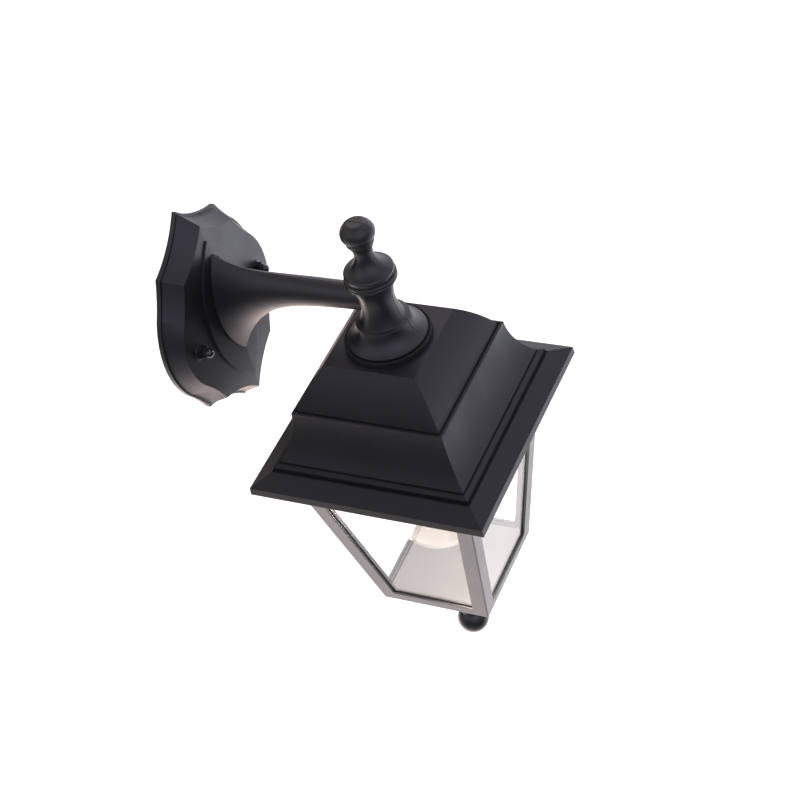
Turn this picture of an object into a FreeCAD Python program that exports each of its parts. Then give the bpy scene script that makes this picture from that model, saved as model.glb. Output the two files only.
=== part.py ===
import FreeCAD
import Part
import Sketcher
import os
import re

V = FreeCAD.Vector

# Driving dimensions in millimetres. The origin is on the wall, at the middle of the shield's back.
# +Z is up and the lantern hangs out along -Y. Lantern levels are heights over the eave's lower edge.
SIZES = {
    # Place of the lantern
    "reach": 123.4,
    "eave_drop": 77.1,
    # Moulded walls and clearances
    "wall": 2.5,
    "seat_gap": 0.3,
    "screw_gap": 0.2,
    # Wall shield
    "shield_apex": 75.8,
    "shield_half": 56.5,
    "ear_x": 35.4,
    "ear_z": 52.6,
    "knuckle_x": 48.0,
    "knuckle_z": 30.5,
    "front_apex": 66.5,
    "front_half": 50.3,
    "front_ear_x": 30.3,
    "front_ear_z": 46.2,
    "front_knuckle_x": 42.6,
    "front_knuckle_z": 23.5,
    "scallop": 0.44,
    "hollow": 0.8,
    "rim_height": 3.0,
    "rim_lip": 1.5,
    "shield_edge": 14.2,
    "keel_rise": 2.0,
    "shield_wall": 3.0,
    "tier_half_height": 55.0,
    "tier_half_width": 24.2,
    "tier_rise": 1.2,
    # Gasket on the wall
    "gasket_height": 2.0,
    "gasket_inset": 1.2,
    "gasket_band": 2.4,
    # Mounting plate on the wall
    "plate_width": 92.0,
    "plate_height": 44.0,
    "plate_thick": 1.5,
    "slot_spacing": 50.0,
    "slot_length": 12.0,
    "slot_width": 5.0,
    "inlet_z": 11.0,
    "inlet_radius": 6.2,
    "inlet_bore": 3.8,
    # Studs and cap nuts of the shield
    "stud_x": 38.3,
    "stud_radius": 2.0,
    "pillar_radius": 5.0,
    "pillar_top": 15.3,
    "washer_radius": 4.5,
    "washer_thick": 0.8,
    "cap_nut_across": 7.0,
    "cap_nut_hex": 3.4,
    "cap_nut_dome": 3.1,
    "cap_nut_height": 8.0,
    "head_slot": 1.0,
    # Terminal block
    "block_width": 18.0,
    "block_height": 13.0,
    "block_depth": 9.5,
    "block_z": -11.0,
    "pole_pitch": 8.0,
    "pole_bore": 1.8,
    "clamp_pitch": 6.5,
    "clamp_radius": 1.9,
    # Arm
    "arm_seat": 15.8,
    "arm_axis": 26.6,
    "arm_radius": 8.0,
    "arm_top_flare": 10.0,
    "arm_top_run": 12.0,
    "arm_keel_flare": 50.8,
    "arm_keel_run": 24.0,
    "arm_side_flare": 6.45,
    "arm_side_run": 20.0,
    "arm_plinth": 1.6,
    "arm_foot": 6.0,
    "seam_gap": 0.15,
    "seam_depth": 1.0,
    "arm_screw_x": 6.0,
    "arm_screw_rise": 13.5,
    "arm_screw_mid": 13.5,
    "arm_screw_radius": 1.5,
    "arm_screw_head": 3.0,
    "arm_screw_seat": 11.6,
    "arm_pad": 1.0,
    # Lead
    "lead_radius": 2.0,
    "lead_hole": 4.0,
    "lead_entry": 9.0,
    "lead_bend": 11.5,
    # Column and ball
    "seal_height": 2.5,
    "seal_radius": 26.6,
    "seal_rim": 1.4,
    "bell_radius": 24.3,
    "bell_edge": 1.7,
    "bell_rise": 12.8,
    "step_radius": 16.4,
    "step_edge": 0.8,
    "waist_foot": 13.8,
    "waist_level": 102.5,
    "waist_radius": 10.5,
    "waist_top": 14.4,
    "bead_level": 120.4,
    "bead_radius": 15.7,
    "bead_half_height": 2.1,
    "bead_groove": 0.7,
    "dish_level": 126.6,
    "dish_radius": 14.9,
    "dish_edge": 2.5,
    "neck_level": 138.4,
    "neck_radius": 5.7,
    "cup_level": 143.6,
    "cup_radius": 6.9,
    "collar_level": 146.6,
    "collar_radius": 8.4,
    "collar_height": 1.2,
    "ball_level": 153.3,
    "ball_radius": 10.3,
    "ball_half_height": 4.7,
    "ball_shoulder": 8.25,
    "button_radius": 5.6,
    "button_level": 159.9,
    "button_height": 0.6,
    "column_floor": 5.0,
    # Tie tube, nuts and washers
    "tube_radius": 5.0,
    "tube_bore": 3.6,
    "nut_across": 17.0,
    "nut_height": 5.0,
    "tie_washer_radius": 11.0,
    "tie_washer_thick": 1.5,
    # Roof
    "eave_half": 77.5,
    "lip_drop": 0.9,
    "lip_height": 4.3,
    "lip_lean": 0.4,
    "flange_half": 65.2,
    "flange_level": 9.9,
    "ledge_half": 64.4,
    "ledge_level": 12.8,
    "cavetto_foot": 61.1,
    "cavetto_low": 14.0,
    "cavetto_mid": 53.9,
    "cavetto_mid_level": 27.0,
    "bead_half": 49.4,
    "bead_low": 45.3,
    "bead_top": 47.0,
    "dome_foot": 46.8,
    "dome_mid": 39.5,
    "dome_mid_level": 60.4,
    "crown_half": 30.0,
    "crown_level": 72.3,
    "groove_width": 1.1,
    "groove_depth": 1.0,
    "cavetto_groove": 0.8,
    "boss_place": 47.0,
    "boss_radius": 4.5,
    # Cage
    "cage_top": 6.5,
    "cage_base": 135.9,
    "cage_eave_half": 60.4,
    "cage_base_half": 37.4,
    "post_width": 10.5,
    "post_chamfer": 0.4,
    "reveal": 1.2,
    "slot_thick": 2.3,
    "inner_lip": 1.2,
    "window_low": 128.5,
    "window_high": 12.0,
    "pane_edge": 7.2,
    "pane_low": 132.4,
    "pane_top": 3.0,
    "pane_play": 0.15,
    "web": 5.0,
    "lug_reach": 17.6,
    "lug_thick": 2.8,
    "cage_screw_radius": 1.9,
    "cage_screw_head": 3.5,
    "cage_screw_length": 12.0,
    # Floor plate and bottom finial
    "floor_thick": 1.5,
    "foot_radius": 19.0,
    "foot_edge": 2.2,
    "stem_bead": 10.8,
    "stem_bead_drop": 24.0,
    "stem_neck": 5.8,
    "stem_neck_drop": 37.0,
    "knob_drop": 56.4,
    "knob_radius": 10.7,
    "finial_screw_radius": 2.5,
    "finial_screw_head": 4.4,
    "finial_screw_length": 16.0,
    "finial_head_height": 1.8,
    "finial_washer_radius": 6.5,
    "finial_well": 2.9,
    # Lamp holder
    "holder_top": 46.0,
    "holder_neck": 9.0,
    "holder_shoulder": 34.0,
    "holder_radius": 19.5,
    "holder_split": 14.0,
    "holder_bottom": -20.0,
    "holder_wall": 2.8,
    "insert_low": 8.0,
    "insert_high": 20.0,
    "shell_radius": 14.3,
    "shell_thick": 0.6,
    "shell_low": -17.0,
    "contact_radius": 4.0,
    "contact_height": 3.0,
    # Bulb
    "bulb_level": -73.0,
    "bulb_radius": 30.0,
    "bulb_neck": 12.1,
    "bulb_neck_low": -27.0,
    "bulb_skin": 1.0,
    "cap_radius": 13.2,
    "cap_low": -24.0,
    "cap_shoulder": -1.0,
    "stem_radius": 5.0,
    "stem_tip": -52.0,
    "filament_level": -66.0,
    "filament_radius": 9.0,
    "filament_wire": 0.45,
    "filament_bead": 1.6,
}

doc = FreeCAD.newDocument("wall_lantern")
sheet = doc.addObject("Spreadsheet::Sheet", "sizes")
for row, (alias, value) in enumerate(SIZES.items(), start=1):
    sheet.set(f"A{row}", alias)
    sheet.set(f"B{row}", str(value))
    sheet.setAlias(f"B{row}", alias)
doc.recompute()

pieces = []


def formula(text):
    """Give each size named in a formula its place in the sheet."""
    return re.sub(r"[a-z][a-z_0-9]*",
                  lambda word: "sizes." + word[0] if word[0] in SIZES else word[0], str(text))


def number(text):
    return float(sheet.evalExpression(formula(text)))


def bind(item, **sizes):
    """Tie properties of an object to formulas."""
    for name, text in sizes.items():
        item.setExpression(name, formula(text))
    return item


def place(item, x="0", y="0", z="0", turn=None):
    """Put an object at a point given by formulas, turned if asked."""
    if turn:
        item.Placement = FreeCAD.Placement(V(0, 0, 0), turn)
    for letter, text in zip("xyz", (x, y, z)):
        item.setExpression(f"Placement.Base.{letter}", formula(text))
    return item


def keep(label, item):
    """Name a finished piece; its label becomes its file name."""
    item.Label = label
    pieces.append(item)
    return item


def hang(item):
    """Carry a piece modelled about the lantern's axis to its place under the arm."""
    return place(item, y="-reach", z="-eave_drop")


# Directions that a shape modelled along +Z is turned to
OUTWARD = FreeCAD.Rotation(V(1, 0, 0), 90)
UPRIGHT = FreeCAD.Rotation()
SIDEWAYS = FreeCAD.Rotation(V(1, 1, 1), 120)


def cylinder(radius, height, x="0", y="0", z="0", turn=UPRIGHT):
    item = doc.addObject("Part::Cylinder", "cylinder")
    bind(item, Radius=radius, Height=height)
    return place(item, x, y, z, turn)


def box(x, y, z):
    """Box between two formulas on each axis."""
    item = doc.addObject("Part::Box", "box")
    bind(item, Length=f"{x[1]} - ({x[0]})", Width=f"{y[1]} - ({y[0]})", Height=f"{z[1]} - ({z[0]})")
    return place(item, x[0], y[0], z[0])


def frustum(low, high, x_low, x_high, y_low, y_high, angle=0):
    """Tapered block between two levels; each range is a pair of formulas, y ranges are half-widths."""
    item = doc.addObject("Part::Wedge", "frustum")
    bind(item, Ymin=low, Ymax=high, Xmin=x_low[0], Xmax=x_low[1], X2min=x_high[0], X2max=x_high[1],
         Zmin=f"-({y_low})", Zmax=y_low, Z2min=f"-({y_high})", Z2max=y_high)
    return place(item, turn=FreeCAD.Rotation(V(0, 0, 1), angle) * OUTWARD)


def fuse(*items):
    item = doc.addObject("Part::MultiFuse", "fuse")
    item.Shapes = list(items)
    return item


def cut(base, *tools):
    item = doc.addObject("Part::Cut", "cut")
    item.Base = base
    item.Tool = tools[0] if len(tools) == 1 else fuse(*tools)
    return item


def common(*items):
    item = doc.addObject("Part::MultiCommon", "common")
    item.Shapes = list(items)
    return item


def group(*items):
    """Separate solids kept together, such as like screws."""
    item = doc.addObject("Part::Compound", "group")
    item.Links = list(items)
    return item


def ring(outer, inner, height, **spot):
    return cut(cylinder(outer, height, **spot), cylinder(inner, height, **spot))


def outline(sketch, points):
    """Draw a closed outline. (x, y) ends a line; (x, y, via_x, via_y) ends an arc through the via point."""
    corners = [V(number(point[0]), number(point[1]), 0) for point in points]
    starts, ends = [], []
    for i, point in enumerate(points):
        if len(point) == 2:
            edge = sketch.addGeometry(Part.LineSegment(corners[i - 1], corners[i]), False)
        else:
            via = V(number(point[2]), number(point[3]), 0)
            edge = sketch.addGeometry(Part.Arc(corners[i - 1], via, corners[i]), False)
            spot = sketch.addGeometry(Part.Point(via), True)
            pin(sketch, spot, 1, point[2], point[3])
            sketch.addConstraint(Sketcher.Constraint("PointOnObject", spot, 1, edge))
        order = (1, 2) if sketch.getPoint(edge, 2).isEqual(corners[i], 1e-6) else (2, 1)
        starts.append((edge, order[0]))
        ends.append((edge, order[1]))
    for i, point in enumerate(points):
        sketch.addConstraint(Sketcher.Constraint("Coincident", *ends[i - 1], *starts[i]))
    for end, point in zip(ends, points):
        pin(sketch, *end, point[0], point[1])


def pin(sketch, edge, end, x, y):
    """Hold a point of a sketch at two formulas."""
    for kind, text in (("DistanceX", x), ("DistanceY", y)):
        index = sketch.addConstraint(Sketcher.Constraint(kind, edge, end, number(text)))
        sketch.setExpression(f"Constraints[{index}]", formula(text))


def drawn(points, turn=OUTWARD, x="0", y="0", z="0"):
    """Outline on a plane of its own."""
    sketch = doc.addObject("Sketcher::SketchObject", "outline")
    outline(sketch, points)
    return place(sketch, x, y, z, turn)


def extruded(sketch, forward, back="0"):
    item = doc.addObject("Part::Extrusion", "extrusion")
    item.Base = sketch
    item.DirMode = "Normal"
    item.Solid = True
    return bind(item, LengthFwd=forward, LengthRev=back)


def loft(sections, ruled):
    item = doc.addObject("Part::Loft", "loft")
    item.Sections = sections
    item.Solid = True
    item.Ruled = ruled
    return item


def body_sketch(body, role):
    """Sketch on one of a body's own origin planes."""
    sketch = body.newObject("Sketcher::SketchObject", "profile")
    plane = next(item for item in body.Origin.OriginFeatures if item.Role == role)
    sketch.AttachmentSupport = (plane, [""])
    sketch.MapMode = "FlatFace"
    return sketch


def turned(points):
    """Body turned about the Z axis from a profile of (radius, level) points."""
    body = doc.addObject("PartDesign::Body", "turned")
    sketch = body_sketch(body, "XZ_Plane")
    outline(sketch, points)
    spin = body.newObject("PartDesign::Revolution", "spin")
    spin.Profile = sketch
    spin.ReferenceAxis = (sketch, ["V_Axis"])
    spin.Angle = 360
    return body


def drawn_in(points, depth):
    """Turned profile with every radius made smaller by a depth."""
    return [tuple(value if i % 2 or value == "0" else f"{value} - {depth}" for i, value in enumerate(point))
            for point in points]


def mirrored(points):
    """Add the left half of an outline that runs up its right side."""
    left = []
    for i in range(len(points) - 1, -1, -1):
        arc = points[i + 1] if i + 1 < len(points) else points[i][:2]
        via = (f"-({arc[2]})", arc[3]) if len(arc) == 4 else ()
        left.append((f"-({points[i][0]})", points[i][1]) + via)
    return points + left


def pan_screw(radius, length, head, height):
    """Screw along +Z with its head below the origin; the slot is cut across the head."""
    solid = turned([("0", f"-({height})"), (f"0.7 * ({head})", f"-({height})"),
                    (head, "0", f"0.96 * ({head})", f"-0.55 * ({height})"),
                    (radius, "0"), (radius, length), ("0", length)])
    bar = (f"-({head}) - 1", f"{head} + 1")
    across = ("-head_slot / 2", "head_slot / 2")
    depth = (f"-({height}) - 1", f"-0.45 * ({height})")
    return cut(solid, box(bar, across, depth), box(across, bar, depth))


# Wall shield: scalloped outline with ears, drafted to a front of two facets and a keel
RIM = {"apex": "shield_apex", "half": "shield_half", "ear_x": "ear_x", "ear_z": "ear_z",
       "knuckle_x": "knuckle_x", "knuckle_z": "knuckle_z"}
FRONT = {name: f"front_{name}" for name in RIM}


def shield_outline(depth, corners, inset="0"):
    """Outline of the shield: scalloped top and bottom, and sides that swell between two hollows."""
    apex, half, ear_x, ear_z, knuckle_x = (f"({corners[name]} - ({inset}))" for name in
                                           ("apex", "half", "ear_x", "ear_z", "knuckle_x"))
    knuckle_z = corners["knuckle_z"]
    dip = f"({ear_z} + scallop * ({apex} - {ear_z}))"
    hollow_x = f"(({ear_x} + {knuckle_x}) / 2 - hollow)"
    hollow_z = f"(({ear_z} + {knuckle_z}) / 2)"
    quarter = [("0", apex), (ear_x, ear_z, f"0.4 * {ear_x}", dip), (knuckle_x, knuckle_z, hollow_x, hollow_z)]
    lower = [(knuckle_x, f"-{knuckle_z}", half, "0"), (ear_x, f"-{ear_z}", hollow_x, f"-{hollow_z}"),
             ("0", f"-{apex}", f"0.4 * {ear_x}", f"-{dip}")]
    right = quarter + lower
    left = [(f"-{point[0]}",) + point[1:2] + ((f"-{arc[2]}", arc[3]) if len(arc) == 4 else ())
            for point, arc in zip(right[-2::-1], right[:0:-1])]
    return drawn([left[-1]] + right[1:] + left[:-1], y=f"-({depth})")


def keel_block(back, rise):
    """Block whose front has the shield's two facets, raised or sunk from the shield's front."""
    front_edge = f"-(shield_edge + ({rise}))"
    front_keel = f"-(shield_edge + keel_rise + ({rise}))"
    side = "shield_half"
    profile = drawn([(f"-{side}", back), (f"-{side}", front_edge), ("0", front_keel), (side, front_edge),
                     (side, back)], turn=UPRIGHT, z="-shield_apex")
    return extruded(profile, "2 * shield_apex")


def pointed_oval(half_height, half_width, middle, depth):
    top, bottom = f"({middle} + ({half_height}))", f"({middle} - ({half_height}))"
    return drawn([("0", top, f"-({half_width})", middle), ("0", bottom, half_width, middle)], y=f"-({depth})")


def shield_sleeve(inset, draft_from):
    """Drafted block from the rim to the front, before the facets are cut."""
    back = shield_outline(draft_from, RIM, f"rim_lip + ({inset})")
    front = shield_outline("shield_edge + keel_rise", FRONT, inset)
    return loft([back, front], ruled=True)


ARM_TOP = "(arm_axis + arm_radius + arm_top_flare * exp(-({u}) / arm_top_run))"
ARM_KEEL = "(arm_axis - arm_radius - arm_keel_flare * exp(-({u}) / arm_keel_run))"
ARM_HALF = "(arm_radius + arm_side_flare * exp(-({u}) / arm_side_run))"
ARM_LENGTH = "(reach - arm_seat - arm_plinth)"


def arm_section(run, inset="0", wall_inset="0", depth="arm_seat + arm_plinth"):
    """Pointed section of the arm at a distance from its plinth on the shield."""
    top = f"({ARM_TOP.format(u=run)} - ({inset}))"
    keel = f"({ARM_KEEL.format(u=run)} + ({inset}))"
    half = f"({ARM_HALF.format(u=run)} - ({wall_inset}))"
    return pointed_oval(f"({top} - {keel}) / 2", half, f"({top} + {keel}) / 2", f"{depth} + ({run})")


ARM_SCREWS = [(side, rise) for side in (-1, 1) for rise in (-1, 1)]


def arm_screw_place(side, rise):
    return {"x": f"{side} * arm_screw_x", "z": f"arm_screw_mid + {rise} * arm_screw_rise"}


rim = extruded(shield_outline("0", RIM), "rim_height")
sleeve = common(shield_sleeve("0", "rim_height"), keel_block("0", "0"))
rebate = extruded(shield_outline("0", RIM, "gasket_inset"), "gasket_height")
tier_oval = pointed_oval("tier_half_height", "tier_half_width", "0", "rim_height")
tier = common(extruded(tier_oval, "shield_edge * 2"), keel_block("0", "tier_rise"))
boss_tops = [cylinder("pillar_radius", "pillar_top - shield_edge", f"{side} * stud_x", "-shield_edge",
                      turn=OUTWARD) for side in (-1, 1)]
cavity = common(shield_sleeve("shield_wall", "0"), keel_block("1", "-shield_wall"))
pillar_foot = "(plate_thick + wall)"
pillars = [cylinder("pillar_radius", f"shield_edge - {pillar_foot}", f"{side} * stud_x", f"-({pillar_foot})",
                    turn=OUTWARD) for side in (-1, 1)]
shield_holes = [cylinder("stud_radius + screw_gap", "pillar_top + 2", f"{side} * stud_x", turn=OUTWARD)
                for side in (-1, 1)]
seat_recess = extruded(arm_section("0", "-seat_gap", "-seat_gap", "arm_seat"), "shield_edge")
arm_holes = [cylinder("arm_screw_radius + screw_gap", "shield_edge * 2", turn=OUTWARD,
                      **arm_screw_place(*spot)) for spot in ARM_SCREWS]
lead_hole = cylinder("lead_hole", "shield_edge * 2", z="lead_entry", turn=OUTWARD)
arm_pads = [cylinder("arm_screw_head + arm_pad", "arm_pad + seat_gap", y="-arm_screw_seat", turn=OUTWARD,
                     **arm_screw_place(*spot)) for spot in ARM_SCREWS]
shell = cut(fuse(rim, sleeve, tier, *boss_tops), cavity, rebate)
keep("wall_shield", cut(fuse(shell, *pillars, *arm_pads), seat_recess, lead_hole, *shield_holes, *arm_holes))

# Gasket: band of soft foam in a rebate of the shield's rim
gasket_outer = extruded(shield_outline("0", RIM, "gasket_inset + seat_gap"), "gasket_height")
gasket_inner = extruded(shield_outline("0", RIM, "gasket_inset + gasket_band"), "gasket_height")
keep("wall_gasket", cut(gasket_outer, gasket_inner))


# Mounting plate: pressed steel, with wall slots, screw holes and the cable inlet
def wall_slot(side):
    middle = f"{side} * slot_spacing / 2"
    straight = "(slot_length - slot_width) / 2"
    half = "slot_width / 2"
    bar = box((f"{middle} - {straight}", f"{middle} + {straight}"), ("-plate_thick", "0"), (f"-{half}", half))
    rounds = [cylinder(half, "plate_thick", f"{middle} + {end} * {straight}", turn=OUTWARD)
              for end in (-1, 1)]
    return fuse(bar, *rounds)


sheet_steel = box(("-plate_width / 2", "plate_width / 2"), ("-plate_thick", "0"),
                  ("-plate_height / 2", "plate_height / 2"))
plate_holes = [cylinder("stud_radius + screw_gap", "plate_thick", f"{side} * stud_x", turn=OUTWARD)
               for side in (-1, 1)]
inlet = cylinder("inlet_radius", "plate_thick", z="inlet_z", turn=OUTWARD)
keep("mounting_plate", cut(sheet_steel, inlet, wall_slot(-1), wall_slot(1), *plate_holes))

grommet = turned([("inlet_bore", "0"), ("inlet_radius - screw_gap", "0"),
                  ("inlet_radius - screw_gap", "plate_thick"),
                  ("inlet_radius + wall", "plate_thick"), ("inlet_radius + 0.6 * wall", "plate_thick + wall"),
                  ("inlet_bore", "plate_thick + wall")])
keep("inlet_grommet", place(grommet, z="inlet_z", turn=OUTWARD))


# Studs on the plate, with the washers and cap nuts that hold the shield
def prism(across, height, **spot):
    item = doc.addObject("Part::Prism", "hexagon")
    item.Polygon = 6
    bind(item, Circumradius=f"({across}) / 2 / cos(30 deg)", Height=height)
    return place(item, **spot)


nut_seat = "(pillar_top + washer_thick)"
nut_bore = "(cap_nut_height - cap_nut_dome / 2)"
studs = []
washers = []
nuts = []
for side in (-1, 1):
    spot = {"x": f"{side} * stud_x", "turn": OUTWARD}
    studs.append(cylinder("stud_radius", f"{nut_seat} + {nut_bore} - seat_gap", **spot))
    studs.append(cylinder("stud_radius + wall", "wall", y="-plate_thick", **spot))
    washers.append(ring("washer_radius", "stud_radius + screw_gap", "washer_thick", y="-pillar_top", **spot))
    dome = turned([("0", "cap_nut_hex / 2"), ("cap_nut_dome", "cap_nut_hex / 2"),
                   ("cap_nut_dome", "cap_nut_height - cap_nut_dome"),
                   ("0", "cap_nut_height", "0.6 * cap_nut_dome", "cap_nut_height - 0.2 * cap_nut_dome")])
    hexagon = prism("cap_nut_across", "cap_nut_hex", y=f"-{nut_seat}", **spot)
    blank = fuse(hexagon, place(dome, y=f"-{nut_seat}", **spot))
    nuts.append(cut(blank, cylinder("stud_radius + screw_gap", nut_bore, y=f"-{nut_seat}", **spot)))
keep("shield_studs", group(*[fuse(*studs[i:i + 2]) for i in (0, 2)]))
keep("shield_washers", group(*washers))
keep("shield_nuts", group(*nuts))

# Terminal block on the plate, with its wire holes and clamp screws
block = box(("-block_width / 2", "block_width / 2"), ("-(plate_thick + block_depth)", "-plate_thick"),
            ("block_z - block_height / 2", "block_z + block_height / 2"))
wire_depth = "plate_thick + block_depth * 0.45"
poles = [f"{side} * pole_pitch / 2" for side in (-1, 1)]
clamps = [f"block_z + {rise} * clamp_pitch / 2" for rise in (-1, 1)]
wire_holes = [cylinder("pole_bore", "block_height", x, f"-({wire_depth})", "block_z - block_height / 2")
              for x in poles]
clamp_depth = "block_depth * 0.55"
block_front = "plate_thick + block_depth"
well_foot = f"{block_front} - {clamp_depth}"
clamp_wells = [cylinder("clamp_radius + screw_gap", clamp_depth, x, f"-({well_foot})", z, OUTWARD)
               for x in poles for z in clamps]
clamp_foot = f"-({well_foot} + pole_bore / 2)"
clamp_screws = [cylinder("clamp_radius", f"{clamp_depth} * 0.6", x, clamp_foot, z, OUTWARD)
                for x in poles for z in clamps]
keep("terminal_block", cut(block, *wire_holes, *clamp_wells))
keep("terminal_screws", group(*clamp_screws))

# Arm and column: two hollow mouldings that meet in the middle plane, with a fine seam round the outside
column_foot = "(crown_level + seal_height)"
bell_top = f"({column_foot} + bell_rise)"
step_top = f"({bell_top} + step_edge)"
ball_top = "(ball_level + ball_half_height)"
column_profile = [
    ("0", column_foot), ("bell_radius", column_foot), ("bell_radius", f"{column_foot} + bell_edge"),
    ("step_radius", bell_top, "0.65 * step_radius + 0.35 * bell_radius", f"{column_foot} + 0.45 * bell_rise"),
    ("step_radius", step_top), ("waist_foot", f"{step_top} + step_edge"),
    ("waist_top", "bead_level - bead_half_height", "waist_radius", "waist_level"),
    ("bead_radius - bead_groove", "bead_level", "bead_radius", "bead_level - bead_half_height / 2"),
    ("waist_top", "bead_level + bead_half_height", "bead_radius", "bead_level + bead_half_height / 2"),
    ("dish_radius", "dish_level - dish_edge"), ("dish_radius", "dish_level - bead_groove"),
    ("dish_radius - bead_groove", "dish_level"),
    ("cup_radius", "cup_level", "neck_radius", "neck_level"),
    ("collar_radius", "collar_level"), ("collar_radius", "collar_level + collar_height"),
    ("ball_shoulder", "ball_level - ball_half_height"),
    ("ball_shoulder", ball_top, "ball_radius", "ball_level"),
    ("button_radius", "button_level", "0.6 * ball_shoulder + 0.4 * button_radius",
     f"0.35 * {ball_top} + 0.65 * button_level"),
    ("button_radius - button_height / 2", "button_level + button_height"),
    ("0", "button_level + button_height")]
column = turned(column_profile)
core_column = turned(drawn_in(column_profile[:-3], "seam_depth") + [("0", ball_top)])
inner_floor = f"({column_foot} + column_floor)"
hollow = turned([
    ("0", inner_floor), ("step_radius - wall", inner_floor), ("step_radius - wall - 1", f"{bell_top} + 1"),
    ("waist_radius - wall", "waist_level"), ("waist_radius - wall", "bead_level - bead_half_height"),
    ("0", "bead_level")])
bore = cylinder("tube_radius + screw_gap", "column_floor", y="-reach", z=f"{column_foot} - eave_drop")
hang(column)
hang(core_column)
hang(hollow)

stations = [0, 0.05, 0.12, 0.22, 0.38, 0.62, 1]
arm = loft([arm_section(f"{share} * {ARM_LENGTH}") for share in stations], ruled=False)
plinth = extruded(arm_section("0", depth="arm_seat"), "arm_plinth")
core_arm = loft([arm_section(f"{share} * {ARM_LENGTH}", "seam_depth", "seam_depth") for share in stations],
                ruled=False)
inner_run = f"({ARM_LENGTH} - arm_foot)"
channel = loft([arm_section(f"arm_foot + {share} * {inner_run}", "1.5 * wall", "wall") for share in stations],
               ruled=False)
pilots = [cylinder("arm_screw_radius + screw_gap", "arm_seat + arm_foot", turn=OUTWARD,
                   **arm_screw_place(*spot)) for spot in ARM_SCREWS]
lead_way = cylinder("lead_hole", "arm_seat + arm_plinth + arm_foot + wall", z="lead_entry", turn=OUTWARD)
whole_arm = cut(fuse(arm, plinth, column), channel, hollow, bore, lead_way, *pilots)
arm_room = ("-reach - 2 * seal_radius", "0"), ("-eave_drop", "2 * ball_level")
seam = cut(box(("-seam_gap", "seam_gap"), *arm_room), core_arm, core_column)
seamed_arm = cut(whole_arm, seam)
keep("arm_left_half", common(seamed_arm, box(("-2 * seal_radius", "0"), *arm_room)))
keep("arm_right_half", common(seamed_arm, box(("0", "2 * seal_radius"), *arm_room)))

screws = []
for spot in ARM_SCREWS:
    screw = pan_screw("arm_screw_radius", "arm_seat - arm_screw_seat + arm_foot - seat_gap", "arm_screw_head",
                      "arm_screw_head * 0.8")
    screws.append(place(screw, y="-arm_screw_seat", turn=OUTWARD, **arm_screw_place(*spot)))
keep("arm_screws", group(*screws))

# Seal: soft ring under the bell, with a raised rim around it
seal_top = "(crown_level + seal_height)"
seal = turned([("tube_radius + wall", "crown_level"), ("seal_radius", "crown_level"),
               ("seal_radius", f"{seal_top}"),
               ("seal_radius - seal_rim", f"{seal_top}",
                "seal_radius - seal_rim / 2", f"{seal_top} + seal_rim / 2"),
               ("tube_radius + wall", seal_top)])
keep("column_seal", hang(seal))


# Roof: the same profile seen along X and along Y, so that its hips are true mitres
def roof_profile(inset, foot):
    def at(half, level):
        return f"{half} - ({inset})", f"{level} - ({inset})"

    def arc(half, level, via_half, via_level):
        return at(half, level) + at(via_half, via_level)

    return mirrored([
        (f"eave_half - ({inset})", foot), at("eave_half - lip_lean", "lip_height"),
        at("flange_half", "flange_level"), at("ledge_half", "flange_level"), at("ledge_half", "ledge_level"),
        at("cavetto_foot", "cavetto_low"),
        arc("bead_half", "bead_low", "cavetto_mid", "cavetto_mid_level"),
        at("bead_half", "bead_top"), at("dome_foot", "bead_top"),
        arc("crown_half", "crown_level", "dome_mid", "dome_mid_level")])


def hood(inset, foot):
    across = [extruded(drawn(roof_profile(inset, foot), turn), "eave_half", "eave_half")
              for turn in (OUTWARD, SIDEWAYS)]
    return common(*across)


def square_groove(half, width, low, high):
    outer = box((f"-({half})", half), (f"-({half})", half), (low, high))
    inside = f"{half} - ({width})"
    inner = box((f"-({inside})", inside), (f"-({inside})", inside), (low, high))
    return cut(outer, inner)


CORNERS = [(x, y) for x in (-1, 1) for y in (-1, 1)]


def corner_spot(x, y):
    return {"x": f"{x} * boss_place", "y": f"{y} * boss_place"}


posts = [cylinder("boss_radius", "bead_low - cage_top", z="cage_top", **corner_spot(*spot))
         for spot in CORNERS]
bosses = common(fuse(*posts), hood("wall / 2", "-wall"))
pilots = [cylinder("cage_screw_radius + screw_gap", "cage_screw_length + wall", z="cage_top",
                   **corner_spot(*spot)) for spot in CORNERS]
dome_groove = square_groove("dome_foot + groove_width", "groove_width", "bead_top - groove_depth", "bead_top")
ledge_groove = square_groove("ledge_half + groove_width", "groove_width", "flange_level - groove_depth",
                             "flange_level + groove_depth")
foot_groove = square_groove("cavetto_foot + cavetto_groove / 2", "cavetto_groove",
                            "cavetto_low - cavetto_groove", "cavetto_low + cavetto_groove")
tube_hole = cylinder("tube_radius + screw_gap", "crown_level", z="bead_top")
roof_shell = cut(hood("0", "-lip_drop"), hood("wall", "-lip_drop - wall"))
grooves = [dome_groove, ledge_groove, foot_groove]
keep("roof_hood", hang(cut(fuse(roof_shell, bosses), tube_hole, *grooves, *pilots)))

# Tie tube with a nut inside the column and one under the roof, each on a washer
tube_low = "(holder_shoulder + 2)"
upper_washer = inner_floor
under_roof = "(crown_level - wall)"
nut_low = f"({upper_washer} + tie_washer_thick)"
tube_high = f"({nut_low} + nut_height + 2)"
keep("tie_tube", hang(ring("tube_radius", "tube_bore", f"{tube_high} - {tube_low}", z=tube_low)))
nuts = []
for low in (nut_low, f"{under_roof} - tie_washer_thick - nut_height"):
    nuts.append(cut(prism("nut_across", "nut_height", z=low),
                    cylinder("tube_radius + screw_gap", "nut_height", z=low)))
keep("tie_nuts", hang(group(*nuts)))
washers = [ring("tie_washer_radius", "tube_radius + screw_gap", "tie_washer_thick", z=low)
           for low in (upper_washer, f"{under_roof} - tie_washer_thick")]
keep("tie_washers", hang(group(*washers)))

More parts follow.
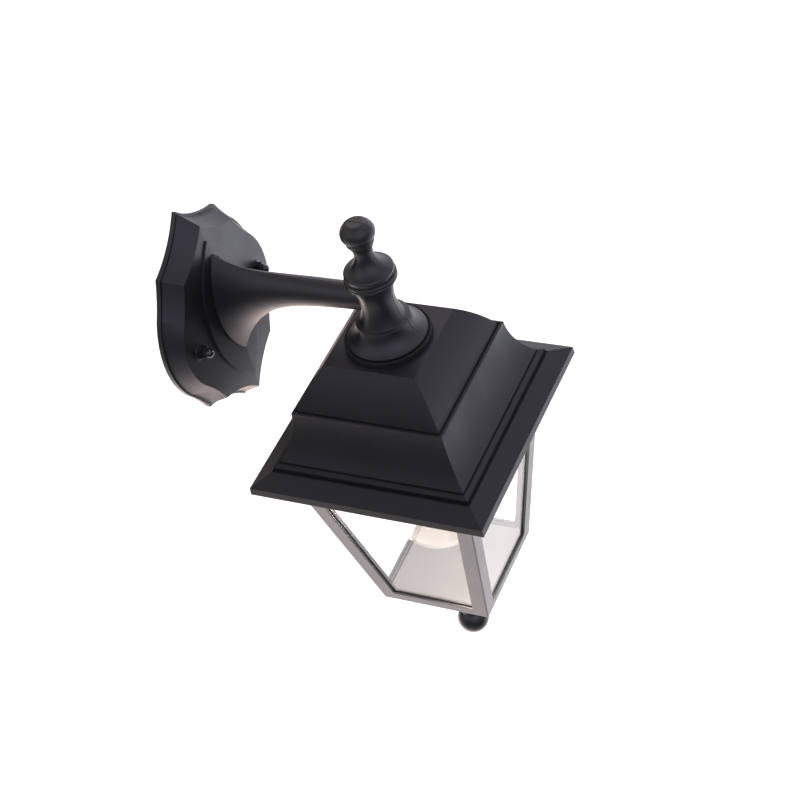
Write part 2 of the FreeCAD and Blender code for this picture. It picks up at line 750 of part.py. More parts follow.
# Lamp holder: cap on the tube, ceramic insert with contact and screw shell, and the skirt around them
holder_in = "holder_radius - holder_wall"
holder_cap = turned([
    ("tube_radius + screw_gap", "holder_top"), ("tube_radius + screw_gap", "holder_shoulder - holder_wall"),
    (holder_in, "holder_shoulder - 2 * holder_wall"), (holder_in, "holder_split"),
    ("holder_radius", "holder_split"), ("holder_radius", "holder_shoulder - holder_wall"),
    ("holder_neck", "holder_shoulder + holder_wall"), ("holder_neck", "holder_top")])
keep("holder_cap", hang(holder_cap))
insert = turned([("0", "insert_low"), (f"{holder_in} - seat_gap", "insert_low"),
                 (f"{holder_in} - seat_gap", "insert_high"), ("shell_radius", "insert_high + wall"),
                 ("0", "insert_high + wall")])
keep("holder_insert", hang(insert))
cap_tip = "(insert_low - contact_height)"
contact = turned([("0", "insert_low"), ("contact_radius", "insert_low"),
                  ("contact_radius * 0.6", cap_tip), ("0", cap_tip)])
keep("holder_contact", hang(contact))
shell = ring("shell_radius", "shell_radius - shell_thick", "insert_low - shell_low", z="shell_low")
keep("holder_shell", hang(shell))
ledge_high = "insert_low"
skirt = turned([
    ("shell_radius + seat_gap", ledge_high), ("shell_radius + seat_gap", f"{ledge_high} - holder_wall"),
    (holder_in, f"{ledge_high} - 2 * holder_wall"), (holder_in, "holder_bottom"),
    ("holder_radius", "holder_bottom"), ("holder_radius", "holder_split"), (holder_in, "holder_split"),
    (holder_in, ledge_high)])
keep("holder_skirt", hang(skirt))

# Bulb: screw cap, blown glass, stem and filament
glass_top = "(cap_low + 4.5)"
cap = turned([("0", cap_tip), ("contact_radius", cap_tip), ("contact_radius + 1.5", f"{cap_tip} - 1.5"),
              ("cap_radius - 2", "cap_shoulder"), ("cap_radius", "cap_shoulder - 1.5"),
              ("cap_radius", "cap_low"), ("bulb_neck + seat_gap", "cap_low"),
              ("bulb_neck + seat_gap", glass_top), ("0", glass_top)])
keep("bulb_cap", hang(cap))


def glass_side(inset):
    """Neck, cone and globe of the bulb from its neck's top to its lowest point."""
    neck = f"(bulb_neck - ({inset}))"
    globe = f"(bulb_radius - ({inset}))"
    rise = "(bulb_neck_low - bulb_level)"
    touch = f"(atan({neck} / {rise}) + acos({globe} / sqrt({neck} ^ 2 + {rise} ^ 2)))"
    low_half = f"(90 deg + {touch} / 2)"
    return [(neck, "bulb_neck_low"), (f"{globe} * sin({touch})", f"bulb_level + {globe} * cos({touch})"),
            ("0", f"bulb_level - {globe}",
             f"{globe} * sin({low_half})", f"bulb_level + {globe} * cos({low_half})")]


inner_side = glass_side("bulb_skin")
bulb = turned([("bulb_neck", glass_top)] + glass_side("0") + [
    inner_side[2][:2], inner_side[1] + inner_side[2][2:], inner_side[0],
    ("bulb_neck - bulb_skin", glass_top)])
keep("bulb_glass", hang(bulb))
stem = turned([("0", glass_top), ("bulb_neck - bulb_skin - seat_gap", glass_top),
               ("stem_radius", f"{glass_top} - 4"),
               ("stem_radius * 0.4", "stem_tip + 6", "stem_radius * 0.75", f"({glass_top} + stem_tip) / 2"),
               ("stem_radius * 0.4", "stem_tip"), ("0", "stem_tip")])
keep("bulb_stem", hang(stem))
hoop = doc.addObject("Part::Torus", "hoop")
bind(hoop, Radius1="filament_radius", Radius2="filament_wire")
place(hoop, z="filament_level")
spoke_level = "(stem_tip - filament_bead / 2)"
wires = [cylinder("filament_bead", "filament_bead", z="stem_tip - filament_bead")]
for side in (-1, 1):
    lying = FreeCAD.Rotation(V(0, 1, 0), side * 90)
    wires.append(cylinder("filament_wire * 0.9", "filament_radius + 2 * filament_wire",
                          z=spoke_level, turn=lying))
    wires.append(cylinder("filament_wire * 0.7", f"{spoke_level} - filament_level",
                          f"{side} * filament_radius", z="filament_level"))
keep("bulb_filament", hang(fuse(hoop, *wires)))


# Cage: tapered frame cut by windows and by the slots that the panes slide down
def cage_half(level):
    return f"(cage_base_half + (cage_eave_half - cage_base_half) / cage_base * ({level} + cage_base))"


def cage_block(low, high, inset, diagonal=False):
    """Block with the cage's taper; the diagonal one trims the cage's corner edges."""
    size = "({half} * sqrt(2) - post_chamfer)" if diagonal else "({half})"
    halves = [size.format(half=f"({cage_half(level)} - ({inset}))") for level in (low, high)]
    spans = [(f"-{half}", half) for half in halves]
    return frustum(low, high, *spans, *halves, angle=45 if diagonal else 0)


def wall_block(low, high, near, far, edge, angle):
    """Slab in the cage's -X wall, between two depths from its outer face, turned to its own wall."""
    low_half, high_half = cage_half(low), cage_half(high)
    return frustum(low, high, (f"-({low_half} - ({near}))", f"-({low_half} - ({far}))"),
                   (f"-({high_half} - ({near}))", f"-({high_half} - ({far}))"),
                   f"({low_half} - ({edge}))", f"({high_half} - ({edge}))", angle)


WALLS = {"pane_left": 0, "pane_front": 90, "pane_right": 180, "pane_back": 270}
frame_depth = "reveal + slot_thick + inner_lip"
outer = common(cage_block("-cage_base", "cage_top", "0"), cage_block("-cage_base", "cage_top", "0", True))
void = cage_block("-cage_base + web", "cage_top", frame_depth)
windows = [wall_block("-window_low", "-window_high", "-1", frame_depth + " + 1", "post_width", angle)
           for angle in WALLS.values()]
slots = [wall_block("-pane_low", "cage_top", "reveal", "reveal + slot_thick", "pane_edge", angle)
         for angle in WALLS.values()]
lug_low = "(cage_top - lug_thick)"
lug_far = f"({cage_half(lug_low)} - ({frame_depth}) + 1)"
lugs = [box(tuple(sorted((f"{x} * ({lug_far} - lug_reach)", f"{x} * {lug_far}"), key=number)),
            tuple(sorted((f"{y} * ({lug_far} - lug_reach)", f"{y} * {lug_far}"), key=number)),
            (lug_low, "cage_top")) for x, y in CORNERS]
lug_holes = [cylinder("cage_screw_radius + screw_gap", "lug_thick", z=lug_low, **corner_spot(*spot))
             for spot in CORNERS]
web_hole = cylinder("finial_screw_radius + screw_gap", "web", z="-cage_base")
well_low = "(web - cage_base - finial_well)"
head_well = cylinder("finial_washer_radius + seat_gap", "finial_well", z=well_low)
frame = cut(outer, void, *windows, *slots)
keep("lantern_cage", hang(cut(fuse(frame, *lugs), web_hole, head_well, *lug_holes)))

for label, angle in WALLS.items():
    pane = wall_block("-pane_low", "pane_top", "reveal + pane_play", "reveal + slot_thick - pane_play",
                      "pane_edge + pane_play", angle)
    keep(label, hang(pane))

screws = []
for spot in CORNERS:
    screw = pan_screw("cage_screw_radius", "cage_screw_length", "cage_screw_head", "cage_screw_head * 0.7")
    screws.append(place(screw, z=lug_low, **corner_spot(*spot)))
keep("cage_screws", hang(group(*screws)))

# Floor plate on the cage's web, over the screw that draws the finial up from below
floor_low = "(web - cage_base)"
floor_half = f"({cage_half(floor_low)} - ({frame_depth}) - seat_gap)"
floor_span = (f"-{floor_half}", floor_half)
floor = box(floor_span, floor_span, (floor_low, f"{floor_low} + floor_thick"))
keep("bottom_plate", hang(group(floor)))

keep("finial_washer", hang(ring("finial_washer_radius", "finial_screw_radius + screw_gap", "washer_thick",
                                z=well_low)))
screw = pan_screw("finial_screw_radius", "finial_screw_length + web - finial_well + washer_thick",
                  "finial_screw_head", "finial_head_height")
place(screw, z=f"{well_low} + washer_thick", turn=FreeCAD.Rotation(V(1, 0, 0), 180))
keep("finial_screw", hang(group(screw)))


def below(drop):
    return f"-cage_base - ({drop})"


thread = "finial_screw_radius + screw_gap"
thread_end = below("finial_screw_length + 1")
finial = turned([
    (thread, below("0")), ("foot_radius", below("0")), ("foot_radius", below("foot_edge")),
    ("stem_bead - 2.8", below("stem_bead_drop - 3"), "stem_bead", below("stem_bead_drop * 0.38")),
    ("stem_bead - 2.8", below("stem_bead_drop + 3"), "stem_bead", below("stem_bead_drop")),
    ("0.6 * knob_radius", below("knob_drop - 0.8 * knob_radius"), "stem_neck", below("stem_neck_drop")),
    ("0", below("knob_drop + knob_radius"), "knob_radius", below("knob_drop")),
    ("0", thread_end), (thread, thread_end)])
keep("bottom_finial", hang(finial))

# Lead: held inside the block, the shield, the arm, the column and the tie tube
lead_out = -number("plate_thick + block_depth / 2")
lead_start = number("block_z + block_height / 2")
entry, axis, reach = number("lead_entry"), number("arm_axis"), number("reach")
lead_end = number("insert_high + wall - eave_drop")
inside = number("arm_seat + arm_plinth + 2 * arm_foot")
straight = number("reach / 3")
route = [V(0, lead_out, lead_start), V(0, lead_out, entry), V(0, -inside, entry),
         V(0, straight - reach, axis), V(0, -reach, axis), V(0, -reach, lead_end)]


def rounded_route(points):
    """Straight runs joined by tangent arcs."""
    edges = []
    start = points[0]
    for before, corner, after in zip(points, points[1:], points[2:]):
        trim = min(number("lead_bend"), 0.45 * before.distanceToPoint(corner))
        back = (before - corner).normalize()
        ahead = (after - corner).normalize()
        middle = (back + ahead).normalize()
        lean = middle.dot(back)
        radius = trim * (1 - lean ** 2) ** 0.5 / lean
        arc_start, arc_end = corner + back * trim, corner + ahead * trim
        crown = corner + middle * (trim / lean - radius)
        edges.append(Part.LineSegment(start, arc_start).toShape())
        edges.append(Part.Arc(arc_start, crown, arc_end).toShape())
        start = arc_end
    edges.append(Part.LineSegment(start, points[-1]).toShape())
    return Part.Wire(edges)


path = rounded_route(route)
lead = doc.addObject("Part::Feature", "lead")
end_circle = Part.Wire(Part.makeCircle(number("lead_radius"), route[0], V(0, 0, 1)))
lead.Shape = path.makePipeShell([end_circle], True, False)
keep("lamp_lead", lead)

# Every object is checked before anything is written
doc.recompute()
for item in doc.Objects:
    if any(word in item.State for word in ("Invalid", "Error")):
        raise RuntimeError(f"{item.Name} {item.Label} is {item.State}")
for item in pieces:
    if item.Shape.isNull() or not item.Shape.isValid() or not item.Shape.Solids:
        raise RuntimeError(f"{item.Label} has no valid solid")
os.makedirs("parts", exist_ok=True)
for item in pieces:
    item.Shape.exportStep(f"parts/{item.Label}.step")
    print(item.Label, len(item.Shape.Solids), round(item.Shape.Volume))
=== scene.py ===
import math

import bpy
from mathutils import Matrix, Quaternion, Vector


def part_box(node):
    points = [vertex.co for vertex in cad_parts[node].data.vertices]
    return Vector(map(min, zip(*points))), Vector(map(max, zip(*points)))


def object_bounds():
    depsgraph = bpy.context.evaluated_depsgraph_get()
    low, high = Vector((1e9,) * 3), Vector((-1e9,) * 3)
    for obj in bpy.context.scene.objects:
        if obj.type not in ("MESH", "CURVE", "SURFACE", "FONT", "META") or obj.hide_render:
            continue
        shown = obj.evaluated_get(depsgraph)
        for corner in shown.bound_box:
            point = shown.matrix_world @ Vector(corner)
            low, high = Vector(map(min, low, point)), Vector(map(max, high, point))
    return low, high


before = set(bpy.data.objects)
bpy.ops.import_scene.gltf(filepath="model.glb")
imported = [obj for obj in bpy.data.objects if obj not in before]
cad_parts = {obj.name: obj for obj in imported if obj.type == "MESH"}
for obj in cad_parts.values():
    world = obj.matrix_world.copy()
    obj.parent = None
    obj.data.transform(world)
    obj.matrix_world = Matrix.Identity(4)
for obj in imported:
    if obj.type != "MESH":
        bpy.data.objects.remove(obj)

bpy.context.view_layer.update()
cad_low, cad_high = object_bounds()

# Wall shield. One black plastic moulding with a pointed outline and a hollow back, screwed
# over the strap on the wall. Its skin is the fine even grain of a spark-eroded mould, and
# its edges are a little rounded.
MOULDING_DARK = (0.0115, 0.0115, 0.0135, 1)
MOULDING_LIGHT = (0.0165, 0.0165, 0.019, 1)


def add_node(tree, kind, inputs=None, **settings):
    made = tree.nodes.new("ShaderNode" + kind)
    for name, value in settings.items():
        setattr(made, name, value)
    for name, value in (inputs or {}).items():
        if isinstance(value, bpy.types.NodeSocket):
            tree.links.new(value, made.inputs[name])
        else:
            made.inputs[name].default_value = value
    return made


def new_group(name, inputs, outputs):
    group = bpy.data.node_groups.new(name, "ShaderNodeTree")
    for label, value in inputs.items():
        socket = group.interface.new_socket(label, in_out="INPUT", socket_type="NodeSocketFloat")
        socket.default_value = value
    for label, kind in outputs.items():
        group.interface.new_socket(label, in_out="OUTPUT", socket_type="NodeSocket" + kind)
    return group, group.nodes.new("NodeGroupInput"), group.nodes.new("NodeGroupOutput")


def new_material(name, values):
    material = bpy.data.materials.new(name)
    material.use_nodes = True
    shader = material.node_tree.nodes["Principled BSDF"]
    for socket, value in values.items():
        shader.inputs[socket].default_value = value
    return material, material.node_tree, shader


def place_group(tree, group, values):
    made = add_node(tree, "Group", node_tree=group)
    for socket, value in values.items():
        made.inputs[socket].default_value = value
    return made


def dress(material, *names):
    for name in names:
        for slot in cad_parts[name].material_slots:
            slot.material = material


surface_noise, entry, result = new_group(
    "surface noise", {"Grain Scale": 1500.0, "Mottle Scale": 45.0}, {"Grain": "Float", "Mottle": "Float"})
spot = add_node(surface_noise, "TexCoord").outputs["Object"]
grain = add_node(surface_noise, "TexNoise", {
    "Vector": spot, "Scale": entry.outputs["Grain Scale"], "Detail": 2.0, "Roughness": 0.6})
mottle = add_node(surface_noise, "TexNoise", {
    "Vector": spot, "Scale": entry.outputs["Mottle Scale"], "Detail": 5.0, "Roughness": 0.55})
surface_noise.links.new(grain.outputs["Fac"], result.inputs["Grain"])
surface_noise.links.new(mottle.outputs["Fac"], result.inputs["Mottle"])

rounded_edge, entry, result = new_group("rounded edge", {"Radius": 0.0006}, {"Normal": "Vector"})
bevel = add_node(rounded_edge, "Bevel", {"Radius": entry.outputs["Radius"]}, samples=6)
rounded_edge.links.new(bevel.outputs["Normal"], result.inputs["Normal"])


def vary(tree, shader, noise, dark, light, gloss, rough):
    tone = add_node(tree, "Mix", {"Factor": noise.outputs["Mottle"]}, data_type="RGBA")
    tone.inputs["A"].default_value = dark
    tone.inputs["B"].default_value = light
    tree.links.new(tone.outputs["Result"], shader.inputs["Base Color"])
    sheen = add_node(tree, "MapRange", {
        "Value": noise.outputs["Mottle"], "From Min": 0.3, "From Max": 0.7,
        "To Min": gloss, "To Max": rough})
    tree.links.new(sheen.outputs["Result"], shader.inputs["Roughness"])


def emboss(tree, shader, height, depth, strength, edge=None):
    bump = add_node(tree, "Bump", {"Height": height, "Distance": depth, "Strength": strength})
    if edge:
        tree.links.new(edge.outputs["Normal"], bump.inputs["Normal"])
    tree.links.new(bump.outputs["Normal"], shader.inputs["Normal"])


def moulded(name, dark, light, gloss, rough, ior):
    material, tree, shader = new_material(name, {"IOR": ior})
    noise = place_group(tree, surface_noise, {"Grain Scale": 1500.0, "Mottle Scale": 45.0})
    edge = place_group(tree, rounded_edge, {"Radius": 0.0007})
    vary(tree, shader, noise, dark, light, gloss, rough)
    emboss(tree, shader, noise.outputs["Grain"], depth=0.0001, strength=0.25, edge=edge)
    return material


bracket_moulding = moulded("bracket moulding", MOULDING_DARK, MOULDING_LIGHT,
                           gloss=0.34, rough=0.44, ior=1.62)
dress(bracket_moulding, "wall_shield")

# Wall gasket and inlet grommet. Soft black rubber, cut from sheet for the shield's rim and
# moulded for the hole where the supply enters. The skin is dull, with a dusty bloom.
RUBBER_DARK = (0.005, 0.005, 0.005, 1)
RUBBER_BLOOM = (0.011, 0.011, 0.012, 1)

seal_rubber, tree, shader = new_material("seal rubber", {"IOR": 1.5})
noise = place_group(tree, surface_noise, {"Grain Scale": 900.0, "Mottle Scale": 120.0})
vary(tree, shader, noise, RUBBER_DARK, RUBBER_BLOOM, gloss=0.6, rough=0.8)
emboss(tree, shader, noise.outputs["Grain"], depth=0.0001, strength=0.3)
dress(seal_rubber, "wall_gasket", "inlet_grommet")

# Mounting plate and small hardware. Pressed steel strap, studs, washers, tube and screws
# with a bright zinc coat. The coat is cloudy and keeps the fine lines of the rolled sheet.
ZINC_DARK = (0.48, 0.48, 0.47, 1)
ZINC_LIGHT = (0.68, 0.68, 0.66, 1)

plated_steel, tree, shader = new_material("plated steel", {"Metallic": 1.0})
noise = place_group(tree, surface_noise, {"Grain Scale": 2400.0, "Mottle Scale": 160.0})
edge = place_group(tree, rounded_edge, {"Radius": 0.0003})
vary(tree, shader, noise, ZINC_DARK, ZINC_LIGHT, gloss=0.24, rough=0.42)
emboss(tree, shader, noise.outputs["Grain"], depth=0.00005, strength=0.2, edge=edge)
dress(plated_steel, "mounting_plate", "shield_studs", "arm_screws", "tie_tube", "tie_nuts",
      "tie_washers", "cage_screws", "finial_screw", "finial_washer")

# Terminal block. White polyamide moulding on the strap with brass clamp screws. The
# plastic is smooth and a little waxy.
POLYAMIDE_SHADE = (0.74, 0.73, 0.69, 1)
POLYAMIDE_LIGHT = (0.84, 0.83, 0.8, 1)
BRASS_DARK = (0.56, 0.38, 0.14, 1)
BRASS_LIGHT = (0.78, 0.58, 0.27, 1)

terminal_white, tree, shader = new_material("terminal white", {"IOR": 1.53, "Subsurface Weight": 0.1})
shader.inputs["Subsurface Radius"].default_value = (0.001, 0.001, 0.001)
noise = place_group(tree, surface_noise, {"Grain Scale": 700.0, "Mottle Scale": 90.0})
edge = place_group(tree, rounded_edge, {"Radius": 0.0003})
vary(tree, shader, noise, POLYAMIDE_SHADE, POLYAMIDE_LIGHT, gloss=0.3, rough=0.4)
emboss(tree, shader, noise.outputs["Grain"], depth=0.00005, strength=0.15, edge=edge)
dress(terminal_white, "terminal_block")

brass, tree, shader = new_material("brass", {"Metallic": 1.0})
noise = place_group(tree, surface_noise, {"Grain Scale": 2200.0, "Mottle Scale": 200.0})
vary(tree, shader, noise, BRASS_DARK, BRASS_LIGHT, gloss=0.22, rough=0.4)
emboss(tree, shader, noise.outputs["Grain"], depth=0.00004, strength=0.2)
dress(brass, "terminal_screws")

# Cap nuts. Black enamelled domed nuts on the shield's two studs, glossy enough to show
# the studio as a small bright ring.
ENAMEL_DARK = (0.008, 0.008, 0.009, 1)
ENAMEL_LIGHT = (0.014, 0.014, 0.015, 1)

black_nut, tree, shader = new_material("black nut", {
    "IOR": 1.5, "Coat Weight": 1.0, "Coat Roughness": 0.06})
noise = place_group(tree, surface_noise, {"Grain Scale": 1200.0, "Mottle Scale": 300.0})
edge = place_group(tree, rounded_edge, {"Radius": 0.0003})
vary(tree, shader, noise, ENAMEL_DARK, ENAMEL_LIGHT, gloss=0.12, rough=0.2)
emboss(tree, shader, noise.outputs["Grain"], depth=0.00004, strength=0.1, edge=edge)
dress(black_nut, "shield_nuts", "shield_washers")

# Arm and column. Two mirrored black mouldings that meet on a fine seam and close round
# the lead and the tie tube. They have the shield's grain.
dress(bracket_moulding, "arm_left_half", "arm_right_half")

# Lamp lead. Round pale sheath from the terminal block through the arm to the lamp holder.
# Extruded plastic, smooth with faint drag lines.
SHEATH_SHADE = (0.66, 0.65, 0.61, 1)
SHEATH_LIGHT = (0.78, 0.77, 0.73, 1)

lead_sheath, tree, shader = new_material("lead sheath", {"IOR": 1.52})
noise = place_group(tree, surface_noise, {"Grain Scale": 800.0, "Mottle Scale": 70.0})
vary(tree, shader, noise, SHEATH_SHADE, SHEATH_LIGHT, gloss=0.38, rough=0.5)
emboss(tree, shader, noise.outputs["Grain"], depth=0.00005, strength=0.15)
dress(lead_sheath, "lamp_lead")

# Column seal. Soft black ring between the column's bell and the roof's crown, pressed down by
# the tie tube. It is the same rubber as the gasket.
dress(seal_rubber, "column_seal")

# Roof hood. One deep black moulding with a flat crown, a dome, a hollow moulding and a sloped
# eave. Its grain is the shield's, a little duller from the weather.
ROOF_DARK = (0.0115, 0.0115, 0.0135, 1)
ROOF_LIGHT = (0.0165, 0.0165, 0.019, 1)

roof_moulding = moulded("roof moulding", ROOF_DARK, ROOF_LIGHT, gloss=0.36, rough=0.46, ior=1.5)
dress(roof_moulding, "roof_hood")

# Lamp holder. Black heat-proof plastic cap and skirt round a glazed ceramic insert with
# brass contacts.
HOLDER_DARK = (0.018, 0.017, 0.016, 1)
HOLDER_LIGHT = (0.03, 0.028, 0.026, 1)
GLAZE_SHADE = (0.76, 0.74, 0.69, 1)
GLAZE_LIGHT = (0.86, 0.85, 0.81, 1)

holder_black = moulded("holder black", HOLDER_DARK, HOLDER_LIGHT, gloss=0.4, rough=0.52, ior=1.55)
dress(holder_black, "holder_cap", "holder_skirt")

ceramic, tree, shader = new_material("ceramic", {"IOR": 1.55, "Coat Weight": 0.6, "Coat Roughness": 0.08})
noise = place_group(tree, surface_noise, {"Grain Scale": 500.0, "Mottle Scale": 110.0})
vary(tree, shader, noise, GLAZE_SHADE, GLAZE_LIGHT, gloss=0.2, rough=0.34)
emboss(tree, shader, noise.outputs["Grain"], depth=0.00005, strength=0.1)
dress(ceramic, "holder_insert")
dress(brass, "holder_contact", "holder_shell")

# Bulb. Clear blown globe on a rolled aluminium cap, with a glass stem that carries the lit
# filament. Light from the filament passes straight out through the clear glass. The globe
# and stem are given a faint warm painted glow.
ALUMINIUM_DARK = (0.56, 0.55, 0.53, 1)
ALUMINIUM_LIGHT = (0.8, 0.79, 0.77, 1)
GLASS_CLEAR = (0.98, 0.985, 0.98, 1)
GLASS_SMEAR = (0.94, 0.945, 0.94, 1)
PAINTED_GLOW_WARM = (1.0, 0.8, 0.62, 1)
GLOW_CORE = (1.0, 0.62, 0.26, 1)
GLOW_ENDS = (1.0, 0.42, 0.12, 1)
GLASS_PAINTED_GLOW = 0.1
FILAMENT_GLOW = 25.0

cap_metal, tree, shader = new_material("cap metal", {"Metallic": 1.0})
noise = place_group(tree, surface_noise, {"Grain Scale": 2200.0, "Mottle Scale": 220.0})
vary(tree, shader, noise, ALUMINIUM_DARK, ALUMINIUM_LIGHT, gloss=0.25, rough=0.4)
emboss(tree, shader, noise.outputs["Grain"], depth=0.00004, strength=0.2)
dress(cap_metal, "bulb_cap")


def clear(name, values, clean, haze, rough, mottle_scale):
    """Clear sheet that bends what is seen through it and lets the room's light straight past."""
    material, tree, shader = new_material(name, {"Transmission Weight": 1.0, **values})
    noise = place_group(tree, surface_noise, {"Grain Scale": 300.0, "Mottle Scale": mottle_scale})
    vary(tree, shader, noise, clean, haze, gloss=0.0, rough=rough)
    emboss(tree, shader, noise.outputs["Mottle"], depth=0.00005, strength=0.05)
    path = add_node(tree, "LightPath")
    passing = add_node(tree, "Math", {0: path.outputs["Is Shadow Ray"], 1: path.outputs["Is Diffuse Ray"]},
                       operation="MAXIMUM")
    straight = add_node(tree, "BsdfTransparent", {"Color": clean})
    mixed = add_node(tree, "MixShader", {
        "Fac": passing.outputs["Value"], 1: shader.outputs["BSDF"], 2: straight.outputs["BSDF"]})
    tree.links.new(mixed.outputs["Shader"], tree.nodes["Material Output"].inputs["Surface"])
    return material


# Faint warm painted glow in the clear globe and stem, which are no lamp themselves.
painted_glow = {"IOR": 1.25, "Emission Color": PAINTED_GLOW_WARM, "Emission Strength": GLASS_PAINTED_GLOW}
bulb_glass = clear("bulb glass", painted_glow, GLASS_CLEAR, GLASS_SMEAR, rough=0.03, mottle_scale=60.0)
dress(bulb_glass, "bulb_glass", "bulb_stem")

filament_wire, tree, shader = new_material("filament wire", {
    "Emission Strength": FILAMENT_GLOW, "Roughness": 0.5})
noise = place_group(tree, surface_noise, {"Grain Scale": 1500.0, "Mottle Scale": 400.0})
glow = add_node(tree, "Mix", {"Factor": noise.outputs["Mottle"]}, data_type="RGBA")
glow.inputs["A"].default_value = GLOW_CORE
glow.inputs["B"].default_value = GLOW_ENDS
tree.links.new(glow.outputs["Result"], shader.inputs["Base Color"])
tree.links.new(glow.outputs["Result"], shader.inputs["Emission Color"])
dress(filament_wire, "bulb_filament")

# Lantern cage. Tapered black frame of four posts and a bottom rail, moulded in one and
# screwed up into the roof. Its black is given a bluish grey colour, a painted reflection of a
# pale room on its smoother skin.
CAGE_PAINTED_SHEEN_DARK = (0.056, 0.066, 0.073, 1)
CAGE_PAINTED_SHEEN_LIGHT = (0.074, 0.087, 0.096, 1)

# The frame's base colour is this painted reflection, not the black of the plastic.
cage_painted_sheen = moulded("cage painted sheen", CAGE_PAINTED_SHEEN_DARK, CAGE_PAINTED_SHEEN_LIGHT, gloss=0.28, rough=0.36, ior=1.75)
dress(cage_painted_sheen, "lantern_cage")

# Panes. Four clear plastic sheets that drop into the cage from above. They are nearly
# clean, with a faint haze.
PANE_CLEAR = (0.99, 0.992, 0.995, 1)
PANE_HAZE = (0.97, 0.973, 0.977, 1)

clear_pane = clear("clear pane", {"IOR": 1.3}, PANE_CLEAR, PANE_HAZE, rough=0.03, mottle_scale=25.0)
dress(clear_pane, "pane_front", "pane_back", "pane_left", "pane_right")

# Floor plate. Thin steel sheet with grey paint that closes the cage under the bulb. The
# paint has a faint orange peel.
PAINT_SHADE = (0.3, 0.325, 0.335, 1)
PAINT_LIGHT = (0.38, 0.41, 0.422, 1)

floor_grey, tree, shader = new_material("floor grey", {"IOR": 1.5})
noise = place_group(tree, surface_noise, {"Grain Scale": 450.0, "Mottle Scale": 60.0})
edge = place_group(tree, rounded_edge, {"Radius": 0.0003})
vary(tree, shader, noise, PAINT_SHADE, PAINT_LIGHT, gloss=0.3, rough=0.42)
emboss(tree, shader, noise.outputs["Grain"], depth=0.0001, strength=0.2, edge=edge)
dress(floor_grey, "bottom_plate")

# Bottom finial. Turned black knob on a stem, drawn up under the cage by a screw through the
# cage's floor. It is smoother than the roof and shows more of the room below.
KNOB_DARK = (0.022, 0.022, 0.024, 1)
KNOB_LIGHT = (0.032, 0.032, 0.035, 1)

knob_moulding = moulded("knob moulding", KNOB_DARK, KNOB_LIGHT, gloss=0.22, rough=0.3, ior=1.6)
dress(knob_moulding, "bottom_finial")

# Stage. A pale floor well below the lantern and a white room that is warm and bright below,
# clear on the right and dim overhead. The floor is white to the camera and keeps a soft
# shadow, and the room's light passes through it to the lantern.
FLOOR_DROP = 0.5
FLOOR_HALF = 6.0
FLOOR_PALE = (0.9, 0.9, 0.9, 1)
FLOOR_GLOW = 0.8
BACKDROP_WHITE = (1, 1, 1, 1)
ROOM_LIGHT = {
    (-1, -1, 1): (0.65, 0.65, 0.9),
    (-1, 0, -1): (0.35, 0.35, 0.4),
    (-1, 0, 1): (0.25, 0.2, 0.25),
    (-1, 1, 1): (0.65, 0.65, 0.7),
    (0, -1, 1): (0.5, 0.5, 0.5),
    (0, 0, -1): (1.05, 0.95, 1.0),
    (0, 1, -1): (2.4, 2.15, 2.1),
    (1, -1, -1): (1.1, 1.15, 1.3),
    (1, -1, 0): (0.4, 0.35, 0.45),
    (1, 0, -1): (0.6, 0.65, 0.7),
    (1, 0, 0): (1.1, 1.1, 1.2),
    (1, 0, 1): (0.6, 0.55, 0.75),
    (1, 1, -2): (1.0, 0.6, 0.35),
    (1, 1, 1): (0.7, 0.6, 0.6),
}
ROOM_SPREAD = 6.0
LAMP_WARM = (1.0, 0.87, 0.73)
LAMP_POWER = 0.16
LAMP_RADIUS = 0.012

bpy.ops.object.select_all(action="DESELECT")
bpy.ops.mesh.primitive_plane_add(size=2 * FLOOR_HALF, location=(0, 0, cad_low.z - FLOOR_DROP))
floor = bpy.context.object
floor.name = "pale_floor"
bpy.ops.object.transform_apply(location=True, rotation=True, scale=True)

floor_paper, tree, shader = new_material("floor paper", {"Base Color": FLOOR_PALE, "Roughness": 0.9})
path = add_node(tree, "LightPath")
white = add_node(tree, "Emission", {"Color": BACKDROP_WHITE, "Strength": FLOOR_GLOW})
seen = add_node(tree, "AddShader", {0: white.outputs["Emission"], 1: shader.outputs["BSDF"]})
passed = add_node(tree, "BsdfTransparent")
looked = add_node(tree, "Math", {0: path.outputs["Is Camera Ray"], 1: path.outputs["Is Transmission Ray"]},
                  operation="MAXIMUM")
paper = add_node(tree, "MixShader", {
    "Fac": looked.outputs["Value"], 1: passed.outputs["BSDF"], 2: seen.outputs["Shader"]})
tree.links.new(paper.outputs["Shader"], tree.nodes["Material Output"].inputs["Surface"])
floor.data.materials.append(floor_paper)

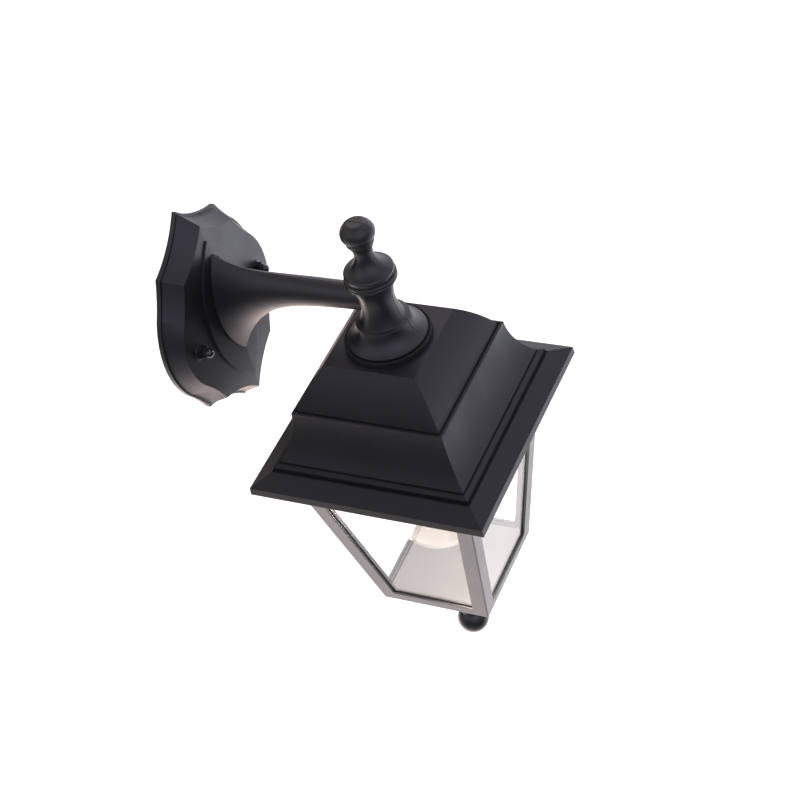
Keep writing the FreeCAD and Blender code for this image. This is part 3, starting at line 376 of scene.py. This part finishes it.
world = bpy.data.worlds.new("white room")
bpy.context.scene.world = world
world.use_nodes = True
tree = world.node_tree
heading = add_node(tree, "TexCoord").outputs["Generated"]
room = None
for toward, colour in ROOM_LIGHT.items():
    facing = add_node(tree, "VectorMath", {0: heading, 1: Vector(toward).normalized()},
                      operation="DOT_PRODUCT")
    ahead = add_node(tree, "Math", {0: facing.outputs["Value"], 1: 0.0}, operation="MAXIMUM")
    lobe = add_node(tree, "Math", {0: ahead.outputs["Value"], 1: ROOM_SPREAD}, operation="POWER")
    part = add_node(tree, "VectorMath", {0: Vector(colour), "Scale": lobe.outputs["Value"]},
                    operation="SCALE")
    if room:
        part = add_node(tree, "VectorMath", {0: room, 1: part.outputs["Vector"]}, operation="ADD")
    room = part.outputs["Vector"]
path = add_node(tree, "LightPath")
looked = add_node(tree, "Math", {0: path.outputs["Is Camera Ray"], 1: path.outputs["Is Transmission Ray"]},
                  operation="MAXIMUM")
shown = add_node(tree, "Mix", {"Factor": looked.outputs["Value"]}, data_type="RGBA")
tree.links.new(room, shown.inputs["A"])
shown.inputs["B"].default_value = BACKDROP_WHITE
tree.links.new(shown.outputs["Result"], tree.nodes["Background"].inputs["Color"])

filament_low, filament_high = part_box("bulb_filament")
bpy.ops.object.light_add(type="POINT", location=(filament_low + filament_high) / 2)
bulb_light = bpy.context.object
bulb_light.name = "bulb_light"
bulb_light.data.energy = LAMP_POWER
bulb_light.data.color = LAMP_WARM
bulb_light.data.shadow_soft_size = LAMP_RADIUS

# Camera. Looks down on the lantern's near side from the left and the front, from 1.2 m away,
# and is turned a little on its axis.
CAMERA_PLACE = Vector((-0.69433, -0.61128, 0.73244))
CAMERA_FACING = Vector((0.597076, 0.424407, -0.68072))
CAMERA_ROLL = math.radians(17.02)
CAMERA_LENS = 85.822
CAMERA_SENSOR = 36.0

bpy.ops.object.camera_add(location=CAMERA_PLACE)
camera = bpy.context.object
camera.data.lens = CAMERA_LENS
camera.data.sensor_width = CAMERA_SENSOR
camera.rotation_mode = "QUATERNION"
level = CAMERA_FACING.to_track_quat("-Z", "Y")
camera.rotation_quaternion = level @ Quaternion((0, 0, 1), -CAMERA_ROLL)
bpy.context.scene.camera = camera
bpy.context.scene.view_settings.view_transform = "Standard"

# Size. The scene is brought up to date once the lantern is dressed. The box of the solids
# alone was taken before the dressing.
bpy.context.view_layer.update()
